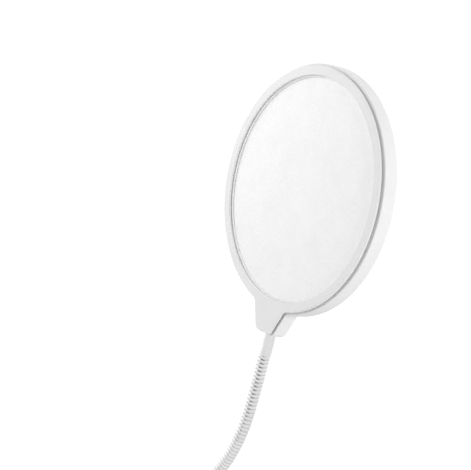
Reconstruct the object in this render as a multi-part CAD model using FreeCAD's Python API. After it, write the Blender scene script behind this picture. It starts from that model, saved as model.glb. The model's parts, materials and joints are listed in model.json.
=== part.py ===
"""Pop filter: a double-mesh disc on a flexible gooseneck, with a screw clamp for a microphone stand tube.

All sizes are in millimetres. The origin is on the axis of the stand tube that the clamp grips, half way up
the jaws. +Z runs up the tube, the gooseneck leaves the clamp along +X and curls up in the XZ plane, and the
disc lies in that plane too, with its front towards -Y.
"""
import FreeCAD, Part
import math
import os
from FreeCAD import Placement, Rotation, Vector

# ---- disc: radii from its centre, depths from its mid plane (front is negative)
DISC_RADIUS = 77.5
BEZEL_RADIUS = 75.95
APERTURE_RADIUS = 69.97
DISC_HALF_DEPTH = 6.5
COVER_THICKNESS = 1.1
SEAM_WIDTH = 1.4
REAR_WALL = 3.0
REAR_EDGE_ROUND = 2.6
FRONT_EDGE_ROUND = 0.7
APERTURE_EDGE_ROUND = 0.4
SPIGOT_WALL = 1.5
SPIGOT_DEPTH = 8.4
SPIGOT_GAP = 0.2
HOOP_INNER = 69.0
HOOP_THICKNESS = 1.4
HOOP_STEP_RADIUS = 71.2
HOOP_STEP_DEPTH = 0.6
MESH_THICKNESS = 0.4
STACK_GAP = 0.05
SPACER_INNER = 70.6

# ---- neck of the disc: u runs outwards from the disc's centre, v across
NECK_ROOT_U = 70.3
NECK_TIP_U = 91.3
NECK_TIP_HALF_WIDTH = 7.36
NECK_FLARE = 25.9
NECK_TIP_ROUND = 3.0
NECK_ROOT_ROUND = 4.0
NECK_REAR_MARGIN = 1.0
NECK_WALL = 1.4

# ---- metal insert in the neck, and the fasteners there
INSERT_HALF_WIDTH = 5.5
INSERT_START_U = 77.0
INSERT_END_U = 88.0
INSERT_HALF_DEPTH = 5.2
INSERT_ROUND = 1.0
FERRULE_START_U = 78.5
PIN_U = 81.0
PIN_RADIUS = 1.0
RIB_WIDTH = 1.0
RIB_GAP = 0.2
SCREW_U = 78.6
SCREW_V = 8.9
SCREW_SHANK = 1.1
SCREW_SHANK_FIT = 0.05
SCREW_HOLE_GAP = 0.2
SCREW_TIP_GAP = 1.0
SCREW_HEAD = 2.2
SCREW_HEAD_DEPTH = 1.5
SCREW_HEAD_ROUND = 0.5
SCREW_HEAD_SUNK = 0.3
SCREW_CROSS_LENGTH = 2.6
SCREW_CROSS_WIDTH = 0.6
SCREW_CROSS_DEPTH = 0.4
BOSS_FRONT = 2.1
BOSS_REAR = 3.2
BOSS_MEET = 1.0
BOSS_GAP = 0.2

# ---- gooseneck
SHEATH_RADIUS = 4.0
SHEATH_BORE = 2.5
CORE_RADIUS = 2.4
SEAT_CLEARANCE = 0.1
LIP_SETBACK = 0.95
CORE_CLEARANCE = 0.3
FERRULE_RADIUS = 4.2
FERRULE_VISIBLE = 14.0
FERRULE_STEP = 0.9
FERRULE_ROUND = 0.4
SEGMENT_LENGTH = 37.75
# how far each stretch turns upwards at rest, in degrees, from the clamp to the disc
SEGMENT_TURNS = (0.0, 2.0, 3.0, 6.4, 11.0, 17.4, 23.5, 3.5)

# ---- clamp
TUBE_RADIUS = 12.5
CLAMP_HALF_HEIGHT = 12.0
PAD_HALF_HEIGHT = 11.0
PAD_THICKNESS = 2.0
PAD_HALF_ANGLE = 60.0
JAW_LIP_X = 7.25
JAW_OUTER_X = 26.0
JAW_FRONT_Y = -15.0
SPINE_INNER_Y = 15.0
SPINE_OUTER_Y = 23.0
SCREW_JAW_INNER_X = -38.0
SCREW_JAW_OUTER_X = -49.0
SCREW_JAW_FRONT_Y = -10.0
CLAMP_CORNER_ROUND = 6.0
CLAMP_INNER_ROUND = 2.0
CLAMP_EDGE_ROUND = 1.5
BOSS_RADIUS = 8.0
BOSS_LENGTH = 12.0
BOSS_BORE_DEPTH = 15.0
FERRULE_END_GAP = 0.5
FERRULE_FIT = 0.05
GRUB_RADIUS = 2.0
GRUB_LENGTH = 4.4
GRUB_HEX = 1.0
GRUB_HEX_DEPTH = 2.0
GRUB_X = 32.0
BUSH_FIT = 0.02
PRESS_FIT = 0.01

# ---- clamp screw, its knob and the pressure pad
THREAD_RADIUS = 4.0
THREAD_FIT = 0.05
INSERT_RADIUS = 6.0
INSERT_FLANGE = 7.5
INSERT_FLANGE_THICKNESS = 1.5
INSERT_FLANGE_ROUND = 0.4
PAD_REST_X = -12.6
PAD_RADIUS = 10.0
RUBBER_THICKNESS = 2.0
RUBBER_ROUND = 0.5
PLATE_THICKNESS = 3.0
PLATE_ROUND = 0.8
PLATE_HUB_RADIUS = 6.0
PLATE_HUB_LENGTH = 6.0
BALL_RADIUS = 3.4
BALL_FIT = 0.06
BALL_SET_BACK = 1.2
SCREW_NECK_RADIUS = 2.2
SCREW_NECK_LENGTH = 3.5
SCREW_END_CHAMFER = 0.8
RETAINER_THICKNESS = 0.8
RETAINER_INSET = 0.4
RETAINER_FIT = 0.1
RETAINER_GAP = 1.0
SCREW_END_X = -84.0
KNOB_FRONT_X = -66.0
KNOB_HUB_RADIUS = 8.0
KNOB_HUB_LENGTH = 5.0
KNOB_RADIUS = 15.0
KNOB_BACK_X = -86.0
KNOB_LOBES = 6
KNOB_SCALLOP_RADIUS = 5.0
KNOB_SCALLOP_AT = 17.5
KNOB_EDGE_ROUND = 1.0
KNOB_PIN_X = -79.0
KNOB_PIN_RADIUS = 1.5
KNOB_PIN_HALF = 9.0
CAP_RADIUS = 6.0
CAP_THICKNESS = 1.6
CAP_PROUD = 0.4
CAP_ROUND = 0.35
CAP_FIT = 0.05

# how far pieces that are joined into one reach into each other, and how near an edge is to be picked
OVERLAP = 1.0
NEAR = 0.01

ORIGIN = Vector(0, 0, 0)
ALONG_X = Vector(1, 0, 0)
ALONG_Y = Vector(0, 1, 0)
ALONG_Z = Vector(0, 0, 1)
FRONT_Y = -DISC_HALF_DEPTH
COVER_BACK_Y = FRONT_Y + COVER_THICKNESS
REAR_START_Y = COVER_BACK_Y + SEAM_WIDTH
REAR_FLOOR_Y = DISC_HALF_DEPTH - COVER_THICKNESS
REAR_BORE = DISC_RADIUS - REAR_WALL
SPIGOT_RADIUS = REAR_BORE - SPIGOT_GAP
STACK_RADIUS = SPIGOT_RADIUS - SPIGOT_WALL - SPIGOT_GAP
SCREW_SEAT_Y = DISC_HALF_DEPTH - SCREW_HEAD_DEPTH - SCREW_HEAD_SUNK


def save(name, shape):
    shape.exportStep("parts/" + name + ".step")


def fillet_where(shape, radius, wanted):
    """Rounds every edge whose centre of mass and direction pass the test."""
    edges = [e for e in shape.Edges if wanted(e)]
    return shape.makeFillet(radius, edges)


def runs_along(edge, direction):
    """True for a straight edge parallel to the direction."""
    if not isinstance(edge.Curve, Part.Line):
        return False
    return abs(edge.Curve.Direction.dot(direction)) > 0.999


def ring(outer, inner, low_y, high_y):
    """Flat ring about the disc's axis."""
    depth = high_y - low_y
    start = Vector(0, low_y, 0)
    body = Part.makeCylinder(outer, depth, start, ALONG_Y)
    return body.cut(Part.makeCylinder(inner, depth, start, ALONG_Y))


# ---------------------------------------------------------------- gooseneck path

def heading(angle):
    """Unit vector in the XZ plane, angle in degrees above +X."""
    return Vector(math.cos(math.radians(angle)), 0, math.sin(math.radians(angle)))


def across(angle):
    """Unit vector in the XZ plane, to the left of the heading."""
    return Vector(-math.sin(math.radians(angle)), 0, math.cos(math.radians(angle)))


def arc_end(start, angle, turn, length):
    """Where a stretch of constant curvature ends."""
    if turn == 0:
        return start + heading(angle) * length
    radius = length / math.radians(turn)
    centre = start + across(angle) * radius
    return centre - across(angle + turn) * radius


def gooseneck_pivots():
    """Points and angles of the flexing places, from the clamp's ferrule to the disc's."""
    point = Vector(JAW_OUTER_X + BOSS_LENGTH + FERRULE_VISIBLE, 0, 0)
    angle = 0.0
    found = [(point, angle)]
    for turn in SEGMENT_TURNS:
        point = arc_end(point, angle, turn, SEGMENT_LENGTH)
        angle += turn
        found.append((point, angle))
    return found


def bent_rod(start, angle, turn, length, radius):
    """Round bar along a stretch of constant curvature."""
    if turn == 0:
        return Part.makeCylinder(radius, length, start, heading(angle))
    bend = length / math.radians(turn)
    circle = Part.Wire([Part.makeCircle(radius, start, heading(angle))])
    centre = start + across(angle) * bend
    return Part.Face(circle).revolve(centre, ALONG_Y * -1, turn)


def ball_end(point, angle, radius):
    """Half ball that reaches back from a flexing place."""
    ball = Part.makeSphere(radius, point, heading(angle))
    back = Part.makeCylinder(2 * radius, 2 * radius, point, heading(angle) * -1)
    return ball.common(back)


def seat_ball(point, angle, radius):
    """What is taken off the end of a stretch, so that the next one's ball can turn in it."""
    return Part.makeSphere(radius, point, heading(angle))


def make_gooseneck(pivots):
    for i, turn in enumerate(SEGMENT_TURNS):
        point, angle = pivots[i]
        end_point, end_angle = pivots[i + 1]
        ball = ball_end(point, angle, SHEATH_RADIUS)
        back = heading(angle) * -1

        core = bent_rod(point, angle, turn, SEGMENT_LENGTH, CORE_RADIUS)
        core = core.fuse(Part.makeCylinder(CORE_RADIUS, SHEATH_RADIUS, point, back).common(ball))
        core = core.cut(seat_ball(end_point, end_angle, SHEATH_RADIUS + CORE_CLEARANCE))
        save("core_%d" % (i + 1), core)

        tube = bent_rod(point, angle, turn, SEGMENT_LENGTH, SHEATH_RADIUS)
        tube = tube.cut(bent_rod(point, angle, turn, SEGMENT_LENGTH, SHEATH_BORE))
        tube = tube.cut(seat_ball(end_point, end_angle, SHEATH_RADIUS + SEAT_CLEARANCE))
        ball_ring = ball.cut(Part.makeCylinder(SHEATH_BORE, SHEATH_RADIUS, point, back))
        save("sheath_%d" % (i + 1), tube.fuse(ball_ring))


# ---------------------------------------------------------------- disc, drawn upright with its neck along -Z

def neck_half_width(u):
    return NECK_TIP_HALF_WIDTH + (NECK_TIP_U - u) * math.tan(math.radians(NECK_FLARE))


def neck_plate(margin, low_y, high_y):
    """Tapering tab of the neck, grown all round by the margin."""
    root_u = NECK_ROOT_U
    side = margin / math.cos(math.radians(NECK_FLARE))
    tip_u = NECK_TIP_U + margin
    root = neck_half_width(root_u) + side
    tip = neck_half_width(tip_u) + side
    corners = [(-root, -root_u), (-tip, -tip_u), (tip, -tip_u), (root, -root_u)]
    points = [Vector(v, low_y, w) for v, w in corners + corners[:1]]
    return Part.Face(Part.makePolygon(points)).extrude(Vector(0, high_y - low_y, 0))


def outline(radius, margin, low_y, high_y):
    """Solid disc and neck tab in one, with the corners beside and at the end of the neck rounded."""
    disc = Part.makeCylinder(radius, high_y - low_y, Vector(0, low_y, 0), ALONG_Y)
    body = disc.fuse(neck_plate(margin, low_y, high_y)).removeSplitter()
    tip_z = -(NECK_TIP_U + margin)
    body = fillet_where(body, NECK_TIP_ROUND + margin,
                        lambda e: runs_along(e, ALONG_Y) and abs(e.CenterOfMass.z - tip_z) < NEAR)
    beside = NECK_TIP_HALF_WIDTH + NECK_ROOT_ROUND
    return fillet_where(body, NECK_ROOT_ROUND,
                        lambda e: runs_along(e, ALONG_Y) and abs(e.CenterOfMass.x) > beside
                        and e.CenterOfMass.z > -radius)


def on_face(edge, y):
    """True for an edge that lies in the plane at this depth."""
    return all(abs(v.Y - y) < NEAR for v in edge.Vertexes) and abs(edge.CenterOfMass.y - y) < NEAR


def is_rim(edge, radius):
    """True for a circle about the disc's axis."""
    return isinstance(edge.Curve, Part.Circle) and abs(edge.Curve.Radius - radius) < NEAR


def screw_places():
    return [Vector(side * SCREW_V, 0, -SCREW_U) for side in (-1, 1)]


def at_depth(place, y):
    return Vector(place.x, y, place.z)


def ferrule_bore(radius):
    """Space for the gooseneck's ferrule through the neck's tip."""
    start = Vector(0, 0, -FERRULE_START_U)
    return Part.makeCylinder(radius, 2 * FERRULE_VISIBLE, start, ALONG_Z * -1)


def front_frame():
    plate = outline(BEZEL_RADIUS, 0.0, FRONT_Y, COVER_BACK_Y)
    plate = fillet_where(plate, FRONT_EDGE_ROUND, lambda e: on_face(e, FRONT_Y))
    hole = Part.makeCylinder(APERTURE_RADIUS, COVER_THICKNESS, Vector(0, FRONT_Y, 0), ALONG_Y)
    plate = plate.cut(hole)
    plate = fillet_where(plate, APERTURE_EDGE_ROUND,
                         lambda e: on_face(e, FRONT_Y) and is_rim(e, APERTURE_RADIUS))
    spigot = ring(SPIGOT_RADIUS, SPIGOT_RADIUS - SPIGOT_WALL, COVER_BACK_Y, COVER_BACK_Y + SPIGOT_DEPTH)
    body = plate.fuse(spigot)
    for place in screw_places():
        base = at_depth(place, COVER_BACK_Y)
        height = BOSS_MEET - COVER_BACK_Y
        body = body.fuse(Part.makeCylinder(BOSS_FRONT, height, base, ALONG_Y))
        body = body.cut(Part.makeCylinder(SCREW_SHANK, height, base, ALONG_Y))
    return body.removeSplitter()


def rear_frame():
    shell = outline(DISC_RADIUS, NECK_REAR_MARGIN, REAR_START_Y, DISC_HALF_DEPTH)
    shell = fillet_where(shell, REAR_EDGE_ROUND, lambda e: on_face(e, DISC_HALF_DEPTH))
    shell = fillet_where(shell, FRONT_EDGE_ROUND, lambda e: on_face(e, REAR_START_Y))
    pocket = outline(REAR_BORE, -NECK_WALL, REAR_START_Y, REAR_FLOOR_Y)
    aperture = Part.makeCylinder(APERTURE_RADIUS, COVER_THICKNESS, Vector(0, REAR_FLOOR_Y, 0), ALONG_Y)
    body = shell.cut(pocket).cut(aperture)
    rib_length = INSERT_END_U - INSERT_START_U
    for side in (-1, 1):
        inner = INSERT_HALF_WIDTH + RIB_GAP
        low = min(side * inner, side * (inner + RIB_WIDTH))
        corner = Vector(low, 0, -INSERT_END_U)
        body = body.fuse(Part.makeBox(RIB_WIDTH, REAR_FLOOR_Y, rib_length, corner))
    for place in screw_places():
        base = at_depth(place, BOSS_MEET + BOSS_GAP)
        height = REAR_FLOOR_Y - base.y
        body = body.fuse(Part.makeCylinder(BOSS_REAR, height, base, ALONG_Y))
        hole = Part.makeCylinder(SCREW_SHANK + SCREW_HOLE_GAP, DISC_HALF_DEPTH - base.y, base, ALONG_Y)
        seat = at_depth(place, SCREW_SEAT_Y)
        recess = Part.makeCylinder(SCREW_HEAD + SCREW_HOLE_GAP, DISC_HALF_DEPTH - seat.y, seat, ALONG_Y)
        body = body.cut(hole).cut(recess)
    return body.cut(ferrule_bore(FERRULE_RADIUS + FERRULE_FIT)).removeSplitter()


def neck_screws():
    """Two cross-head screws, driven in from the back."""
    tip_y = COVER_BACK_Y + SCREW_TIP_GAP
    top_y = SCREW_SEAT_Y + SCREW_HEAD_DEPTH
    screws = []
    for place in screw_places():
        head = Part.makeCylinder(SCREW_HEAD, SCREW_HEAD_DEPTH, at_depth(place, SCREW_SEAT_Y), ALONG_Y)
        head = fillet_where(head, SCREW_HEAD_ROUND, lambda e: on_face(e, top_y))
        shank = Part.makeCylinder(SCREW_SHANK - SCREW_SHANK_FIT, SCREW_SEAT_Y - tip_y, at_depth(place, tip_y),
                                  ALONG_Y)
        screw = head.fuse(shank)
        for wide, high in ((SCREW_CROSS_LENGTH, SCREW_CROSS_WIDTH), (SCREW_CROSS_WIDTH, SCREW_CROSS_LENGTH)):
            corner = Vector(place.x - wide / 2, top_y - SCREW_CROSS_DEPTH, place.z - high / 2)
            screw = screw.cut(Part.makeBox(wide, 2 * SCREW_CROSS_DEPTH, high, corner))
        screws.append(screw)
    return Part.makeCompound(screws)


def neck_insert():
    corner = Vector(-INSERT_HALF_WIDTH, -INSERT_HALF_DEPTH, -INSERT_END_U)
    block = Part.makeBox(2 * INSERT_HALF_WIDTH, 2 * INSERT_HALF_DEPTH, INSERT_END_U - INSERT_START_U, corner)
    block = fillet_where(block, INSERT_ROUND, lambda e: runs_along(e, ALONG_Z))
    block = block.cut(ferrule_bore(FERRULE_RADIUS + PRESS_FIT))
    return block.cut(cross_pin(PIN_RADIUS + PRESS_FIT))


def cross_pin(radius):
    start = Vector(-INSERT_HALF_WIDTH, 0, -PIN_U)
    return Part.makeCylinder(radius, 2 * INSERT_HALF_WIDTH, start, ALONG_X)


def head_ferrule():
    """Smooth sleeve from inside the neck to the first flexing place, with a ball end there."""
    pivot = Vector(0, 0, -(NECK_TIP_U + FERRULE_VISIBLE))
    top = Vector(0, 0, -FERRULE_START_U)
    length = pivot.Length - FERRULE_START_U
    sleeve = Part.makeCylinder(FERRULE_RADIUS, length - FERRULE_STEP, top, ALONG_Z * -1)
    sleeve = fillet_where(sleeve, FERRULE_ROUND, lambda e: isinstance(e.Curve, Part.Circle))
    step = Part.makeCylinder(SHEATH_RADIUS, FERRULE_STEP + OVERLAP, pivot, ALONG_Z)
    ball = Part.makeSphere(SHEATH_RADIUS, pivot, ALONG_Z)
    return sleeve.fuse(step).fuse(ball).removeSplitter().cut(cross_pin(PIN_RADIUS + PRESS_FIT))


def mesh_disc(low_y):
    return Part.makeCylinder(STACK_RADIUS, MESH_THICKNESS, Vector(0, low_y, 0), ALONG_Y)


def hoop(face_y, inward):
    """Retaining hoop, its inner part set back from the cover; inward is 1 or -1 along Y."""
    far_y = face_y + inward * HOOP_THICKNESS
    step_y = face_y + inward * HOOP_STEP_DEPTH
    body = ring(STACK_RADIUS, HOOP_INNER, min(face_y, far_y), max(face_y, far_y))
    step = ring(HOOP_STEP_RADIUS, HOOP_INNER - OVERLAP, min(face_y, step_y), max(face_y, step_y))
    return body.cut(step)


def make_head(pivots):
    hoop_y = COVER_BACK_Y + STACK_GAP
    mesh_y = hoop_y + HOOP_THICKNESS + STACK_GAP
    spacer_y = mesh_y + MESH_THICKNESS + STACK_GAP
    pieces = {
        "front_frame": front_frame(),
        "rear_frame": rear_frame(),
        "front_hoop": hoop(hoop_y, 1),
        "front_mesh": mesh_disc(mesh_y),
        "spacer_ring": ring(STACK_RADIUS, SPACER_INNER, spacer_y, -spacer_y),
        "rear_mesh": mesh_disc(-mesh_y - MESH_THICKNESS),
        "rear_hoop": hoop(-hoop_y, -1),
        "neck_insert": neck_insert(),
        "neck_pin": cross_pin(PIN_RADIUS),
        "neck_screws": neck_screws(),
        "head_ferrule": head_ferrule(),
    }
    end_point, end_angle = pivots[-1]
    centre = end_point + heading(end_angle) * (NECK_TIP_U + FERRULE_VISIBLE)
    place = Placement(centre, Rotation(ALONG_Y, 90.0 - end_angle))
    for name, shape in pieces.items():
        shape.Placement = place.multiply(shape.Placement)
        save(name, shape)
    print("disc centre", [round(c, 2) for c in centre], "neck tilt", round(90 - end_angle, 2))


# ---------------------------------------------------------------- clamp

def clamp_outline():
    """C shape seen from above: the fixed jaw, the spine behind the tube, and the jaw with the screw."""
    corners = [
        (JAW_LIP_X, JAW_FRONT_Y), (JAW_OUTER_X, JAW_FRONT_Y), (JAW_OUTER_X, SPINE_OUTER_Y),
        (SCREW_JAW_OUTER_X, SPINE_OUTER_Y), (SCREW_JAW_OUTER_X, SCREW_JAW_FRONT_Y),
        (SCREW_JAW_INNER_X, SCREW_JAW_FRONT_Y), (SCREW_JAW_INNER_X, SPINE_INNER_Y),
        (JAW_LIP_X, SPINE_INNER_Y),
    ]
    points = [Vector(x, y, -CLAMP_HALF_HEIGHT) for x, y in corners + corners[:1]]
    return Part.Face(Part.makePolygon(points)).extrude(ALONG_Z * (2 * CLAMP_HALF_HEIGHT))


def clamp_body():
    body = clamp_outline()
    outer = [(JAW_OUTER_X, JAW_FRONT_Y), (JAW_OUTER_X, SPINE_OUTER_Y), (SCREW_JAW_OUTER_X, SPINE_OUTER_Y)]
    inner = [(SCREW_JAW_INNER_X, SPINE_INNER_Y), (JAW_LIP_X, SPINE_INNER_Y)]

    def stands_at(edge, places):
        here = edge.CenterOfMass
        return runs_along(edge, ALONG_Z) and any(math.hypot(here.x - x, here.y - y) < NEAR for x, y in places)

    body = fillet_where(body, CLAMP_CORNER_ROUND, lambda e: stands_at(e, outer))
    body = fillet_where(body, CLAMP_INNER_ROUND, lambda e: stands_at(e, inner))
    body = fillet_where(body, CLAMP_EDGE_ROUND,
                        lambda e: abs(abs(e.CenterOfMass.z) - CLAMP_HALF_HEIGHT) < NEAR)
    boss_start = Vector(JAW_OUTER_X - OVERLAP, 0, 0)
    boss = Part.makeCylinder(BOSS_RADIUS, BOSS_LENGTH + OVERLAP, boss_start, ALONG_X)
    boss_end = JAW_OUTER_X + BOSS_LENGTH
    boss = fillet_where(boss, CLAMP_EDGE_ROUND, lambda e: abs(e.CenterOfMass.x - boss_end) < NEAR)
    body = body.fuse(boss)
    seat_start = Vector(0, 0, -2 * CLAMP_HALF_HEIGHT)
    seat = Part.makeCylinder(TUBE_RADIUS + PAD_THICKNESS, 4 * CLAMP_HALF_HEIGHT, seat_start, ALONG_Z)
    bore_start = Vector(boss_end - BOSS_BORE_DEPTH, 0, 0)
    bore = Part.makeCylinder(FERRULE_RADIUS + FERRULE_FIT, BOSS_BORE_DEPTH, bore_start, ALONG_X)
    grub_hole = Part.makeCylinder(GRUB_RADIUS + BUSH_FIT, 2 * BOSS_RADIUS, Vector(GRUB_X, 0, 0), ALONG_Z)
    insert_start = Vector(SCREW_JAW_OUTER_X, 0, 0)
    insert_hole = Part.makeCylinder(INSERT_RADIUS + BUSH_FIT, SCREW_JAW_INNER_X - SCREW_JAW_OUTER_X,
                                    insert_start, ALONG_X)
    return body.cut(seat).cut(bore).cut(grub_hole).cut(insert_hole)


def jaw_pad():
    """Rubber lining of the fixed jaw: the round seat for the stand tube."""
    height = 2 * PAD_HALF_HEIGHT
    start = Vector(0, 0, -PAD_HALF_HEIGHT)
    outer = Part.makeCylinder(TUBE_RADIUS + PAD_THICKNESS, height, start, ALONG_Z, 2 * PAD_HALF_ANGLE)
    inner = Part.makeCylinder(TUBE_RADIUS, height, start, ALONG_Z)
    pad = outer.cut(inner)
    pad.rotate(ORIGIN, ALONG_Z, -PAD_HALF_ANGLE)
    return pad


def thread_insert():
    start = Vector(SCREW_JAW_OUTER_X - INSERT_FLANGE_THICKNESS, 0, 0)
    length = SCREW_JAW_INNER_X - start.x
    bush = Part.makeCylinder(INSERT_RADIUS, length, start, ALONG_X)
    flange = Part.makeCylinder(INSERT_FLANGE, INSERT_FLANGE_THICKNESS, start, ALONG_X)
    flange = fillet_where(flange, INSERT_FLANGE_ROUND, lambda e: isinstance(e.Curve, Part.Circle)
                          and abs(e.CenterOfMass.x - start.x) < NEAR)
    return bush.fuse(flange).cut(Part.makeCylinder(THREAD_RADIUS + THREAD_FIT, length, start, ALONG_X))


def base_ferrule():
    """Smooth sleeve at the clamp, with the seat of the first flexing place in its end."""
    start = Vector(JAW_OUTER_X + BOSS_LENGTH - BOSS_BORE_DEPTH + FERRULE_END_GAP, 0, 0)
    pivot = Vector(JAW_OUTER_X + BOSS_LENGTH + FERRULE_VISIBLE, 0, 0)
    sleeve = Part.makeCylinder(FERRULE_RADIUS, pivot.x - start.x, start, ALONG_X)
    lip = Part.makeCylinder(2 * FERRULE_RADIUS, LIP_SETBACK, pivot, ALONG_X * -1)
    dimple = Part.makeCylinder(GRUB_RADIUS, FERRULE_RADIUS, Vector(GRUB_X, 0, SHEATH_RADIUS), ALONG_Z)
    sleeve = sleeve.cut(seat_ball(pivot, 0.0, SHEATH_RADIUS + SEAT_CLEARANCE))
    return sleeve.cut(lip).cut(dimple)


def set_screw():
    """Grub screw that holds the ferrule in the boss."""
    start = Vector(GRUB_X, 0, SHEATH_RADIUS)
    body = Part.makeCylinder(GRUB_RADIUS, GRUB_LENGTH, start, ALONG_Z)
    hexagon = Part.makePolygon([
        Vector(GRUB_X + GRUB_HEX * math.cos(math.radians(60 * k)), GRUB_HEX * math.sin(math.radians(60 * k)),
               start.z + GRUB_LENGTH - GRUB_HEX_DEPTH)
        for k in range(7)
    ])
    return body.cut(Part.Face(hexagon).extrude(ALONG_Z * (2 * GRUB_HEX_DEPTH)))


def plate_back_x():
    return PAD_REST_X - RUBBER_THICKNESS - PLATE_THICKNESS


def ball_x():
    """Centre of the screw's ball, inside the hub of the pressure plate."""
    return plate_back_x() - BALL_SET_BACK


def pressure_rubber():
    start = Vector(PAD_REST_X - RUBBER_THICKNESS, 0, 0)
    disc = Part.makeCylinder(PAD_RADIUS, RUBBER_THICKNESS, start, ALONG_X)
    return fillet_where(disc, RUBBER_ROUND, lambda e: abs(e.CenterOfMass.x - PAD_REST_X) < NEAR)


def pressure_plate():
    back = plate_back_x()
    plate = Part.makeCylinder(PAD_RADIUS, PLATE_THICKNESS, Vector(back, 0, 0), ALONG_X)
    plate = fillet_where(plate, PLATE_ROUND, lambda e: abs(e.CenterOfMass.x - back) < NEAR)
    mouth_start = Vector(back - PLATE_HUB_LENGTH, 0, 0)
    hub = Part.makeCylinder(PLATE_HUB_RADIUS, PLATE_HUB_LENGTH + OVERLAP, mouth_start, ALONG_X)
    socket = Part.makeSphere(BALL_RADIUS + BALL_FIT, Vector(ball_x(), 0, 0), ALONG_X)
    mouth = Part.makeCylinder(BALL_RADIUS + BALL_FIT, ball_x() - mouth_start.x, mouth_start, ALONG_X)
    return plate.fuse(hub).cut(socket).cut(mouth)


def pad_retainer():
    """Split ring that keeps the screw's ball in the hub."""
    start = Vector(plate_back_x() - PLATE_HUB_LENGTH + RETAINER_INSET, 0, 0)
    washer = Part.makeCylinder(BALL_RADIUS, RETAINER_THICKNESS, start, ALONG_X)
    hole = Part.makeCylinder(SCREW_NECK_RADIUS + RETAINER_FIT, RETAINER_THICKNESS, start, ALONG_X)
    gap = Part.makeBox(RETAINER_THICKNESS, RETAINER_GAP, BALL_RADIUS, start - ALONG_Y * (RETAINER_GAP / 2))
    return washer.cut(hole).cut(gap)


def clamp_screw():
    centre = Vector(ball_x(), 0, 0)
    ball = Part.makeSphere(BALL_RADIUS, centre, ALONG_X)
    neck_end = plate_back_x() - PLATE_HUB_LENGTH - SCREW_NECK_LENGTH
    neck = Part.makeCylinder(SCREW_NECK_RADIUS, centre.x - neck_end, Vector(neck_end, 0, 0), ALONG_X)
    shank = Part.makeCylinder(THREAD_RADIUS, neck_end - SCREW_END_X, Vector(SCREW_END_X, 0, 0), ALONG_X)
    shank = shank.makeChamfer(SCREW_END_CHAMFER,
                              [e for e in shank.Edges if abs(e.CenterOfMass.x - neck_end) < NEAR])
    return ball.fuse(neck).fuse(shank).cut(knob_pin_bar(KNOB_PIN_RADIUS + PRESS_FIT))


def knob_pin_bar(radius):
    start = Vector(KNOB_PIN_X, 0, -KNOB_PIN_HALF)
    return Part.makeCylinder(radius, 2 * KNOB_PIN_HALF, start, ALONG_Z)


def clamp_knob():
    grip_start = KNOB_FRONT_X - KNOB_HUB_LENGTH
    length = grip_start - KNOB_BACK_X
    grip = Part.makeCylinder(KNOB_RADIUS, length, Vector(KNOB_BACK_X, 0, 0), ALONG_X)
    for k in range(KNOB_LOBES):
        turn = math.radians(360.0 * k / KNOB_LOBES)
        place = Vector(KNOB_BACK_X, KNOB_SCALLOP_AT * math.sin(turn), KNOB_SCALLOP_AT * math.cos(turn))
        grip = grip.cut(Part.makeCylinder(KNOB_SCALLOP_RADIUS, length, place, ALONG_X))
    grip = fillet_where(grip, KNOB_EDGE_ROUND,
                        lambda e: abs(e.CenterOfMass.x - grip_start) < NEAR
                        or abs(e.CenterOfMass.x - KNOB_BACK_X) < NEAR)
    hub_start = Vector(grip_start - OVERLAP, 0, 0)
    hub = Part.makeCylinder(KNOB_HUB_RADIUS, KNOB_HUB_LENGTH + OVERLAP, hub_start, ALONG_X)
    knob = grip.fuse(hub)
    bore_length = KNOB_FRONT_X - SCREW_END_X
    bore_start = Vector(SCREW_END_X, 0, 0)
    knob = knob.cut(Part.makeCylinder(THREAD_RADIUS + PRESS_FIT, bore_length, bore_start, ALONG_X))
    cap_start = Vector(KNOB_BACK_X, 0, 0)
    knob = knob.cut(Part.makeCylinder(CAP_RADIUS + CAP_FIT, CAP_THICKNESS, cap_start, ALONG_X))
    return knob.cut(knob_pin_bar(KNOB_PIN_RADIUS + PRESS_FIT))


def knob_cap():
    start = Vector(KNOB_BACK_X - CAP_PROUD, 0, 0)
    cap = Part.makeCylinder(CAP_RADIUS, CAP_THICKNESS + CAP_PROUD, start, ALONG_X)
    return fillet_where(cap, CAP_ROUND, lambda e: abs(e.CenterOfMass.x - start.x) < NEAR)


def make_clamp():
    save("clamp_body", clamp_body())
    save("jaw_pad", jaw_pad())
    save("thread_insert", thread_insert())
    save("base_ferrule", base_ferrule())
    save("set_screw", set_screw())
    save("pressure_plate", pressure_plate())
    save("pressure_rubber", pressure_rubber())
    save("pad_retainer", pad_retainer())
    save("clamp_screw", clamp_screw())
    save("clamp_knob", clamp_knob())
    save("knob_cap", knob_cap())
    save("knob_pin", knob_pin_bar(KNOB_PIN_RADIUS))


os.makedirs("parts", exist_ok=True)
pivots = gooseneck_pivots()
for number, (point, angle) in enumerate(pivots, 1):
    print("pivot", number, [round(c, 3) for c in point], "heading", round(angle, 2))
make_gooseneck(pivots)
make_head(pivots)
make_clamp()
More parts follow.
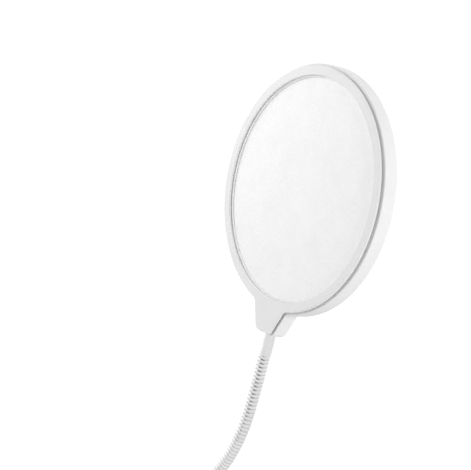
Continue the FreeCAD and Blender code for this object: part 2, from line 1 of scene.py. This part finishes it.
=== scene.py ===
"""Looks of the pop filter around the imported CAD: mesh cloths, moulded frame, ribbed gooseneck and clamp.

Everything is in metres, in the CAD's frame: +Z up, the disc in the XZ plane with its front towards -Y.
"""
import json
import math
import bmesh
import bpy
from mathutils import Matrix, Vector


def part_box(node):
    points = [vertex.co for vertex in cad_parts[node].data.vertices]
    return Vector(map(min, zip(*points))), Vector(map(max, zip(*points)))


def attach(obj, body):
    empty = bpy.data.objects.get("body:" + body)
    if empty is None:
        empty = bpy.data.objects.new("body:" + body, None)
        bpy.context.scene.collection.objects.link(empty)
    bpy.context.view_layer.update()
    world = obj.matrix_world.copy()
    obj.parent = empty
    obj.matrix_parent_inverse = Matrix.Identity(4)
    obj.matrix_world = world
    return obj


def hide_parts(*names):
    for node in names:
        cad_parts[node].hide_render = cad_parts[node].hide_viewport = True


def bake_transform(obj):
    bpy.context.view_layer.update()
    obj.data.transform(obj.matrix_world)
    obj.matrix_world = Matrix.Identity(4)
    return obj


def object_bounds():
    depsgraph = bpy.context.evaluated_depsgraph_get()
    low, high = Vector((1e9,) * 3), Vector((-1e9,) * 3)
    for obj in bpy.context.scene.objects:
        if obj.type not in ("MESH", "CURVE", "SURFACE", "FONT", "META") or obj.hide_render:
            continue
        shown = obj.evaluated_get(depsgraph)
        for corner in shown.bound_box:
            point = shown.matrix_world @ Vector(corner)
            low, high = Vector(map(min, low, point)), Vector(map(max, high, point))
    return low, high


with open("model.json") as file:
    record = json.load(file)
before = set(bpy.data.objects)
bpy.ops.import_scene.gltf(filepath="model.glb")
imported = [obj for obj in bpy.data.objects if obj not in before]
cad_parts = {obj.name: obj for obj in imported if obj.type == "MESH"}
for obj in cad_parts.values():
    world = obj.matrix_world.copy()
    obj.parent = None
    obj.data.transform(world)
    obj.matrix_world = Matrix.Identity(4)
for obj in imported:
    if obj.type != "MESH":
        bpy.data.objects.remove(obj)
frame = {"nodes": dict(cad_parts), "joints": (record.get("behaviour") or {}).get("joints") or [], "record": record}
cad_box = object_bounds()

MM = 0.001

# ---- sizes of the Blender pieces
STRETCHES = 8
STRAIGHT_TURN = 1e-6
SHEATH_RADIUS = 4.0 * MM
RIB_DEPTH = 0.40 * MM
RIB_PITCH = 2.5 * MM
RIB_STEPS = 8
RIB_SIDES = 32
THREAD_PITCH = 1.25 * MM
THREAD_DEPTH = 0.65 * MM
THREAD_STEPS = 10
THREAD_FLANK = 1.35
SCREW_SIDES = 40
SCREW_NECK_RADIUS = 2.2 * MM
SCREW_NECK_TAPER = 0.5 * MM
BALL_RADIUS = 3.4 * MM
BALL_STEPS = 24
BALL_TO_SHANK = 8.3 * MM
BALL_TIP_RADIUS = 0.05 * MM
CLOTH_RINGS = 64
CLOTH_SPOKES = 180
CLOTH_HALF_THICKNESS = 0.06 * MM
CLOTH_FLAT_RIM = 0.04
CLOTH_DISH = 0.30 * MM
CLOTH_PULL = 0.05 * MM
CLOTH_PULL_REACH = 0.10
CLOTH_PULL_FADE = 0.4
CLOTH_PULL_COUNTS = (23, 37, 52)
CLOTH_SWELL = 0.07 * MM
YARN_PITCH = 0.95 * MM
YARN_TURN = math.radians(8)

# ---- stage, light and camera
FLOOR_BELOW = 300 * MM
FLOOR_HALF = 6.0
WORLD_BRIGHT_SIDE = (-0.76, 0.58, -0.28)
WORLD_BRIGHT = 1.075
WORLD_DIM = 0.16
WORLD_DIM_UNTIL = -0.97
WORLD_BRIGHT_FROM = -0.50
KEY_OFFSET = Vector((-200, -260, 240)) * MM
KEY_AIM = Vector((-30, 0, 40)) * MM
KEY_SIZE = 220 * MM
KEY_POWER = 0.62
SIDE_OFFSET = Vector((1080, -100, -240)) * MM
SIDE_SIZE = 500 * MM
SIDE_POWER = 5.4
CAMERA_OFFSET = Vector((744.246, -596.309, -204.604)) * MM
CAMERA_AIM = Vector((-26.478, -27.209, -27.850)) * MM
CAMERA_LENS = 122.3
CAMERA_SENSOR = 36.0
CAMERA_CLIP = (0.01, 50.0)


# ---------------------------------------------------------------- places worked out from the frame

def middle(node):
    low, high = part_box(node)
    return (low + high) / 2


def neck_pivots():
    """The nine neck joints' places, from the base ferrule to the head ferrule: bend and sway in turn."""
    joints = {joint["name"]: joint for joint in frame["joints"]}
    names = ["neck_%s_%d" % ("bend" if k % 2 else "sway", k) for k in range(1, STRETCHES + 2)]
    return [Vector(joints[name]["pos_m"]) for name in names]


def neck_headings():
    """Heading above +X at each pivot. A stretch is an arc, its chord at the mean of its ends' headings."""
    headings = [0.0]
    for start, end in zip(PIVOTS, PIVOTS[1:]):
        chord = math.atan2(end.z - start.z, end.x - start.x)
        headings.append(2 * chord - headings[-1])
    return headings


PIVOTS = neck_pivots()
HEADINGS = neck_headings()
STRETCH_LENGTH = (PIVOTS[1] - PIVOTS[0]).length
CENTRE = middle("front_mesh")
CENTRE.y = 0.0
CLOTH_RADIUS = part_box("front_mesh")[1].z - CENTRE.z
FACE = CENTRE + Vector((0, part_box("front_frame")[0].y, 0))
NECK_AXIS = (PIVOTS[-1] - CENTRE).normalized()
NECK_TILT = math.atan2(-NECK_AXIS.x, -NECK_AXIS.z)


# ---------------------------------------------------------------- node helpers

class Shader:
    """A material's node tree, with short ways to add and join nodes."""

    def __init__(self, name):
        self.material = bpy.data.materials.new(name)
        self.material.use_nodes = True
        self.tree = self.material.node_tree
        self.surface = self.tree.nodes["Principled BSDF"]
        self.coordinates = self.add("ShaderNodeTexCoord").outputs["Object"]

    def add(self, kind, **settings):
        node = self.tree.nodes.new(kind)
        for key, value in settings.items():
            setattr(node, key, value)
        return node

    def join(self, output, target):
        self.tree.links.new(output, target)

    def set(self, **values):
        """Constant values on the shader's own sockets, with _ for a space."""
        for key, value in values.items():
            self.surface.inputs[key.replace("_", " ")].default_value = value

    def mapped(self, scale=(1, 1, 1), rotation=(0, 0, 0)):
        node = self.add("ShaderNodeMapping")
        node.inputs["Scale"].default_value = scale
        node.inputs["Rotation"].default_value = rotation
        self.join(self.coordinates, node.inputs["Vector"])
        return node.outputs["Vector"]

    def noise(self, scale, detail=3.0, rough=0.5, vector=None):
        node = self.add("ShaderNodeTexNoise")
        node.inputs["Scale"].default_value = scale
        node.inputs["Detail"].default_value = detail
        node.inputs["Roughness"].default_value = rough
        self.join(vector or self.coordinates, node.inputs["Vector"])
        return node.outputs["Fac"]

    def ramp(self, factor, stops):
        node = self.add("ShaderNodeValToRGB")
        for element, (place, colour) in zip(node.color_ramp.elements, stops):
            element.position = place
            element.color = (*colour, 1.0)
        self.join(factor, node.inputs["Fac"])
        return node.outputs["Color"]

    def attribute(self, name):
        """A number stored on the mesh's points, 0 where a mesh has none."""
        return self.add("ShaderNodeAttribute", attribute_name=name).outputs["Fac"]

    def darker(self, colour, factor, shade):
        node = self.add("ShaderNodeMix", data_type="RGBA")
        self.join(factor, node.inputs["Factor"])
        self.join(colour, node.inputs["A"])
        node.inputs["B"].default_value = (*shade, 1.0)
        return node.outputs["Result"]

    def range(self, value, low, high, from_low=0.0, from_high=1.0):
        node = self.add("ShaderNodeMapRange")
        limits = {"From Min": from_low, "From Max": from_high, "To Min": low, "To Max": high}
        for key, number in limits.items():
            node.inputs[key].default_value = number
        self.join(value, node.inputs["Value"])
        return node.outputs["Result"]

    def math(self, operation, first, second):
        node = self.add("ShaderNodeMath", operation=operation)
        for socket, value in zip(node.inputs, (first, second)):
            if isinstance(value, (int, float)):
                socket.default_value = value
            else:
                self.join(value, socket)
        return node.outputs["Value"]

    def blend(self, first, second, share):
        """A weighted sum of two heights, share of the first and the rest of the second."""
        parts = (self.math("MULTIPLY", first, share), self.math("MULTIPLY", second, 1 - share))
        return self.math("ADD", *parts)

    def bump(self, height, distance, strength, normal=None):
        node = self.add("ShaderNodeBump")
        node.inputs["Distance"].default_value = distance
        node.inputs["Strength"].default_value = strength
        self.join(height, node.inputs["Height"])
        if normal is not None:
            self.join(normal, node.inputs["Normal"])
        return node.outputs["Normal"]

    def finish(self, colour=None, roughness=None, normal=None, alpha=None):
        links = {"Base Color": colour, "Roughness": roughness, "Normal": normal, "Alpha": alpha}
        for key, value in links.items():
            if value is not None:
                self.join(value, self.surface.inputs[key])
        return self.material


def grey(value, warm=0.0):
    return (value * (1 + warm), value, value * (1 - warm))


# ---------------------------------------------------------------- materials

def moulded_plastic(name, low, high, roughness, peel=0.004, coat=0.0):
    """Injection-moulded plastic: faint flow clouds, fine orange peel and a few rubbed places."""
    s = Shader(name)
    flow = s.noise(38.0, 4.0, 0.55, s.mapped((1, 1, 2.2)))
    colour = s.ramp(flow, [(0.30, grey(low)), (0.72, grey(high))])
    rubbed = s.noise(210.0, 5.0, 0.7)
    rough = s.range(rubbed, roughness - 0.06, roughness + 0.10, 0.3, 0.7)
    fine = s.bump(s.noise(2600.0, 2.0), peel * MM, 0.6)
    normal = s.bump(s.noise(260.0, 2.0), 4 * peel * MM, 0.6, fine)
    s.set(IOR=1.49, Coat_Weight=coat, Coat_Roughness=0.12)
    return s.finish(colour, rough, normal)


def mesh_cloth(name, low, high, cover):
    """Fine knitted nylon: crossing yarns with open gaps, slight slubs, and soft clouds in its density."""
    s = Shader(name)
    turned = s.mapped(rotation=(0, -(NECK_TILT + YARN_TURN), 0))
    parts = s.add("ShaderNodeSeparateXYZ")
    s.join(turned, parts.inputs["Vector"])
    waver = s.range(s.noise(160.0, 2.0), -0.9, 0.9)
    yarns = []
    for axis in ("X", "Z"):
        phase = s.math("MULTIPLY", parts.outputs[axis], 2 * math.pi / YARN_PITCH)
        wave = s.math("SINE", s.math("ADD", phase, waver), 0.0)
        yarns.append(s.range(wave, 0.0, 1.0, -1.0, 1.0))
    weave = s.math("MAXIMUM", yarns[0], yarns[1])
    density = s.blend(weave, s.noise(900.0, 2.0), 0.62)
    clouds = s.noise(75.0, 5.0, 0.62)
    colour = s.ramp(s.blend(density, clouds, 0.55), [(0.28, grey(low)), (0.72, grey(high))])
    alpha = s.range(density, cover, 1.0, 0.25, 0.60)
    normal = s.bump(density, 0.10 * MM, 0.55)
    s.set(Roughness=0.78, Sheen_Weight=0.25, Sheen_Roughness=0.4, Specular_IOR_Level=0.25)
    return s.finish(colour, None, normal, alpha)


def plated_metal(name, tone, roughness, warm=0.0, painted_groove_shade=0.0):
    """Plated or drawn metal: fine drawing lines, small scratches, a slightly clouded plate, and painted shade that
    darkens the grooves.
    """
    s = Shader(name)
    clouds = s.noise(120.0, 4.0, 0.6)
    colour = s.ramp(clouds, [(0.30, grey(tone * 0.93, warm)), (0.70, grey(tone, warm))])
    lines = s.noise(420.0, 3.0, 0.6, s.mapped((1.0, 6.0, 6.0)))
    marks = s.noise(1500.0, 6.0, 0.75)
    rough = s.range(s.blend(lines, marks, 0.6), roughness - 0.06, roughness + 0.10, 0.35, 0.65)
    normal = s.bump(marks, 0.004 * MM, 0.5)
    # painted shade: points deep in the sheath's grooves are mixed towards dark grey, standing in for the shade
    # that falls there
    if painted_groove_shade:
        colour = s.darker(colour, s.math("MULTIPLY", s.attribute("groove"), painted_groove_shade), grey(0.10))
    s.set(Metallic=1.0)
    return s.finish(colour, rough, normal)


def rubber(name, tone):
    """Matt rubber with a fine grain and dusty clouds."""
    s = Shader(name)
    dust = s.noise(90.0, 5.0, 0.6)
    colour = s.ramp(dust, [(0.30, grey(tone * 0.8)), (0.75, grey(tone * 1.35))])
    rough = s.range(dust, 0.66, 0.86, 0.3, 0.7)
    s.set(Specular_IOR_Level=0.35)
    return s.finish(colour, rough, s.bump(s.noise(3200.0, 3.0, 0.6), 0.02 * MM, 0.7))


def floor_material():
    s = Shader("floor_paper")
    colour = s.ramp(s.noise(3.0, 4.0), [(0.3, grey(0.80)), (0.7, grey(0.83))])
    s.set(Roughness=0.9)
    return s.finish(colour)


MATERIALS = {
    "white_plastic": moulded_plastic("white_plastic", 0.755, 0.785, 0.36, coat=0.15),
    "hoop_plastic": moulded_plastic("hoop_plastic", 0.90, 0.93, 0.42),
    "mesh_cloth": mesh_cloth("mesh_cloth", 0.86, 0.95, 0.80),
    "nickel": plated_metal("nickel", 0.97, 0.22, painted_groove_shade=0.42),
    "core_steel": plated_metal("core_steel", 0.52, 0.36),
    "zinc_steel": plated_metal("zinc_steel", 0.72, 0.28),
    "brass": plated_metal("brass", 0.66, 0.26, warm=0.34),
    "rubber": rubber("rubber", 0.045),
    "clamp_plastic": moulded_plastic("clamp_plastic", 0.78, 0.83, 0.46, peel=0.010),
    "knob_grey": moulded_plastic("knob_grey", 0.36, 0.40, 0.30, coat=0.2),
}

for part in frame["record"]["subparts"]:
    node = frame["nodes"][part["node"]]
    node.data.materials.clear()
    node.data.materials.append(MATERIALS[part["material_slot"]])


# ---------------------------------------------------------------- mesh helpers

def mesh_of(name, points, faces):
    mesh = bpy.data.meshes.new(name)
    mesh.from_pydata([tuple(p) for p in points], [], faces)
    mesh.update()
    return mesh


def face_outward(mesh):
    build = bmesh.new()
    build.from_mesh(mesh)
    bmesh.ops.recalc_face_normals(build, faces=build.faces)
    build.to_mesh(mesh)
    build.free()


def closed_tube(name, rings):
    """A skin through equal rings of points, one after the other, with a flat cap on each end."""
    sides = len(rings[0])
    points = [p for ring in rings for p in ring]
    faces = []
    for here in range(0, len(points) - sides, sides):
        for k in range(sides):
            after = (k + 1) % sides
            faces.append((here + k, here + sides + k, here + sides + after, here + after))
    faces.append(tuple(range(sides)))
    faces.append(tuple(range(len(points) - sides, len(points))))
    mesh = mesh_of(name, points, faces)
    face_outward(mesh)
    return mesh


def add_piece(name, mesh, slot):
    """A new smooth object for this mesh, with its slot's material and flat end caps."""
    for polygon in mesh.polygons:
        polygon.use_smooth = len(polygon.vertices) <= 4
    piece = bpy.data.objects.new(name, mesh)
    bpy.context.scene.collection.objects.link(piece)
    mesh.materials.append(MATERIALS[slot])
    return piece


# ---------------------------------------------------------------- mesh cloths

def disc_point(radius, angle, y):
    """A point on the disc, by radius and angle from its own upright, at this depth."""
    turned = angle + NECK_TILT
    return Vector((CENTRE.x + radius * math.sin(turned), y, CENTRE.z + radius * math.cos(turned)))


def cloth_height(share, angle, seed):
    """How far the stretched cloth stands off its plane at this share of its radius.

    It has a slack dish, pull lines from the rim and soft swells, all flat at the rim, where the hoop is.
    """
    dish = CLOTH_DISH * (1 - share * share)
    rim = math.exp(-((1 - share) / CLOTH_PULL_REACH) ** 2)
    pulls = sum(math.sin(n * angle + 1.7 * n + seed) for n in CLOTH_PULL_COUNTS) / len(CLOTH_PULL_COUNTS)
    lines = CLOTH_PULL * rim * pulls * (1 - rim * CLOTH_PULL_FADE)
    waves = math.sin(3 * angle + seed) * math.cos(5 * share + seed)
    swells = CLOTH_SWELL * waves * share * (1 - share)
    held = max(0.0, (share - 1 + CLOTH_FLAT_RIM) / CLOTH_FLAT_RIM)
    return (dish + lines + swells) * (1 - held)


def cloth_skin(build, y, outward, seed):
    """One skin of a cloth: its faces round the hub and ring by ring. Gives its outermost loop of points."""
    hub = build.verts.new(disc_point(0, 0, y + outward * cloth_height(0, 0, seed)))
    inner = None
    for ring in range(1, CLOTH_RINGS + 1):
        share = ring / CLOTH_RINGS
        outer = []
        for k in range(CLOTH_SPOKES):
            angle = 2 * math.pi * k / CLOTH_SPOKES
            rise = outward * cloth_height(share, angle, seed)
            outer.append(build.verts.new(disc_point(CLOTH_RADIUS * share, angle, y + rise)))
        for k in range(CLOTH_SPOKES):
            after = (k + 1) % CLOTH_SPOKES
            nearer = (inner[after], inner[k]) if inner else (hub,)
            build.faces.new((*nearer, outer[k], outer[after]))
        inner = outer
    return outer


def make_cloth(name, node, seed):
    y = middle(node).y
    outward = -1 if y < 0 else 1
    build = bmesh.new()
    front, back = (cloth_skin(build, y + side * CLOTH_HALF_THICKNESS, outward, seed) for side in (-1, 1))
    for k in range(CLOTH_SPOKES):
        after = (k + 1) % CLOTH_SPOKES
        build.faces.new((front[k], back[k], back[after], front[after]))
    bmesh.ops.recalc_face_normals(build, faces=build.faces)
    mesh = bpy.data.meshes.new(name)
    build.to_mesh(mesh)
    build.free()
    piece = add_piece(name, mesh, "mesh_cloth")
    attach(piece, "head")
    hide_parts(node)


make_cloth("front_cloth", "front_mesh", 0.4)
make_cloth("rear_cloth", "rear_mesh", 2.1)


# ---------------------------------------------------------------- gooseneck

def neck_place(distance):
    """Point and heading at this distance along the flexible part, whose stretches are arcs."""
    number = min(int(distance / STRETCH_LENGTH), STRETCHES - 1)
    share = distance / STRETCH_LENGTH - number
    start, end = PIVOTS[number], PIVOTS[number + 1]
    first = HEADINGS[number]
    turn = HEADINGS[number + 1] - first
    if abs(turn) < STRAIGHT_TURN:
        return start.lerp(end, share), first
    heading = first + turn * share
    radius = (end - start).length / (2 * math.sin(turn / 2))
    centre = start + radius * Vector((-math.sin(first), 0, math.cos(first)))
    return centre + radius * Vector((math.sin(heading), 0, -math.cos(heading))), heading


def rib_crest(phase):
    """Height of the wound wire across one pitch: a round crown with a tight groove beside it."""
    return math.sin(math.pi * (phase % 1.0))


def sheath_ring(distance):
    """A ring of points round the sheath, and how deep in the groove each of them is, from 0 to 1."""
    point, heading = neck_place(distance)
    up = Vector((-math.sin(heading), 0, math.cos(heading)))
    across = Vector((0, 1, 0))
    ring = []
    depths = []
    for k in range(RIB_SIDES):
        around = 2 * math.pi * k / RIB_SIDES
        crest = rib_crest(distance / RIB_PITCH - k / RIB_SIDES)
        radius = SHEATH_RADIUS - RIB_DEPTH * (1 - crest)
        ring.append(point + up * (radius * math.cos(around)) + across * (radius * math.sin(around)))
        depths.append((1 - crest) ** 2)
    return ring, depths


def make_sheath(number):
    """The ribbed sheath across this joint (1 to 9), from the middle of one stretch to that of the next."""
    first, last = number == 1, number == STRETCHES + 1
    low = 0.0 if first else (number - 1.5) * STRETCH_LENGTH
    high = STRETCHES * STRETCH_LENGTH if last else (number - 0.5) * STRETCH_LENGTH
    steps = round((high - low) / RIB_PITCH * RIB_STEPS)
    rings = [sheath_ring(low + (high - low) * k / steps) for k in range(steps + 1)]
    mesh = closed_tube("sheath_joint_%d" % number, [ring for ring, depths in rings])
    # how deep each point sits in its groove, which the nickel uses to paint shade into the grooves
    grooves = [depth for ring, depths in rings for depth in depths]
    mesh.attributes.new("groove", "FLOAT", "POINT").data.foreach_set("value", grooves)
    piece = add_piece("gooseneck_ribs_%d" % number, mesh, "nickel")
    if not last:
        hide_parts("sheath_%d" % number)
    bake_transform(piece)


for number in range(1, STRETCHES + 2):
    make_sheath(number)


# ---------------------------------------------------------------- clamp screw

def thread_radius(x, around, start, end, crest):
    """Radius of the helical thread at this x and share of a turn, run out over one pitch at each end."""
    phase = (x / THREAD_PITCH - around) % 1.0
    tooth = min(1.0, max(0.0, THREAD_FLANK * (1 - abs(2 * phase - 1))))
    ends = min(1.0, (x - start) / THREAD_PITCH, (end - x) / THREAD_PITCH)
    return crest - THREAD_DEPTH * (1 - tooth * ends)


def make_screw():
    """Threaded rod from the knob to the ball that the pressure plate turns on."""
    low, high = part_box("clamp_screw")
    crest = (high.z - low.z) / 2
    ball_x = high.x - BALL_RADIUS
    shank_end = ball_x - BALL_TO_SHANK
    shares = [k / SCREW_SIDES for k in range(SCREW_SIDES)]
    outline = []
    x = low.x
    while x < shank_end:
        outline.append((x, [thread_radius(x, around, low.x, shank_end, crest) for around in shares]))
        x += THREAD_PITCH / THREAD_STEPS
    meets = math.asin(SCREW_NECK_RADIUS / BALL_RADIUS)
    turned = [(shank_end, crest - THREAD_DEPTH),
              (shank_end + SCREW_NECK_TAPER, SCREW_NECK_RADIUS),
              (ball_x - BALL_RADIUS * math.cos(meets), SCREW_NECK_RADIUS)]
    for k in range(1, BALL_STEPS):
        angle = meets + (math.pi - meets) * k / BALL_STEPS
        turned.append((ball_x - BALL_RADIUS * math.cos(angle), BALL_RADIUS * math.sin(angle)))
    turned.append((high.x, BALL_TIP_RADIUS))
    outline += [(x, [radius] * SCREW_SIDES) for x, radius in turned]
    angles = [2 * math.pi * around for around in shares]
    rings = [[Vector((x, r * math.cos(a), r * math.sin(a))) for r, a in zip(radii, angles)]
             for x, radii in outline]
    piece = add_piece("threaded_screw", closed_tube("screw_thread", rings), "zinc_steel")
    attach(piece, "screw")
    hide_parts("clamp_screw")


make_screw()


# ---------------------------------------------------------------- stage, light and camera

def make_floor():
    z = cad_box[0].z - FLOOR_BELOW
    signs = ((-1, -1), (1, -1), (1, 1), (-1, 1))
    corners = [(CENTRE.x + FLOOR_HALF * x, FLOOR_HALF * y, z) for x, y in signs]
    floor = bpy.data.objects.new("floor", mesh_of("floor", corners, [(0, 1, 2, 3)]))
    floor.data.materials.append(floor_material())
    bpy.context.scene.collection.objects.link(floor)
    return floor


def area_light(name, place, target, size, power):
    """A soft round light that neither the camera nor a glossy surface sees."""
    data = bpy.data.lights.new(name, "AREA")
    data.shape = "DISK"
    data.size = size
    data.energy = power
    light = bpy.data.objects.new(name, data)
    light.location = place
    light.visible_camera = False
    light.visible_glossy = False
    light.rotation_euler = (target - place).to_track_quat("-Z", "Y").to_euler()
    bpy.context.scene.collection.objects.link(light)
    return light


def spare_floor(light, floor):
    """Keep this light off the floor, which it stands so near that it would leave a bright patch there."""
    skipped = bpy.data.collections.new("floor_only")
    skipped.objects.link(floor)
    light.light_linking.receiver_collection = skipped
    skipped.collection_objects[0].light_linking.link_state = "EXCLUDE"


def make_world():
    """White behind the object, dim straight in front of it, so that metal shows its form."""
    world = bpy.data.worlds.new("studio")
    world.use_nodes = True
    tree = world.node_tree
    coordinates = tree.nodes.new("ShaderNodeTexCoord").outputs["Generated"]
    facing = tree.nodes.new("ShaderNodeVectorMath")
    facing.operation = "DOT_PRODUCT"
    facing.inputs[1].default_value = Vector(WORLD_BRIGHT_SIDE).normalized()
    tree.links.new(coordinates, facing.inputs[0])
    strength = tree.nodes.new("ShaderNodeMapRange")
    strength.interpolation_type = "SMOOTHSTEP"
    strength.inputs["From Min"].default_value = WORLD_DIM_UNTIL
    strength.inputs["From Max"].default_value = WORLD_BRIGHT_FROM
    strength.inputs["To Min"].default_value = WORLD_DIM
    strength.inputs["To Max"].default_value = WORLD_BRIGHT
    tree.links.new(facing.outputs["Value"], strength.inputs["Value"])
    background = tree.nodes["Background"]
    background.inputs["Color"].default_value = (1, 1, 1, 1)
    tree.links.new(strength.outputs["Result"], background.inputs["Strength"])
    bpy.context.scene.world = world


def make_camera():
    data = bpy.data.cameras.new("camera")
    data.sensor_width = CAMERA_SENSOR
    data.lens = CAMERA_LENS
    data.clip_start, data.clip_end = CAMERA_CLIP
    camera = bpy.data.objects.new("camera", data)
    camera.location = FACE + CAMERA_OFFSET
    camera.rotation_euler = (CAMERA_AIM - CAMERA_OFFSET).to_track_quat("-Z", "Y").to_euler()
    bpy.context.scene.collection.objects.link(camera)
    bpy.context.scene.camera = camera


make_world()
stage_floor = make_floor()
area_light("key", FACE + KEY_OFFSET, FACE + KEY_AIM, KEY_SIZE, KEY_POWER)
spare_floor(area_light("side", FACE + SIDE_OFFSET, FACE, SIDE_SIZE, SIDE_POWER), stage_floor)
make_camera()
bpy.context.scene.view_settings.view_transform = "Standard"
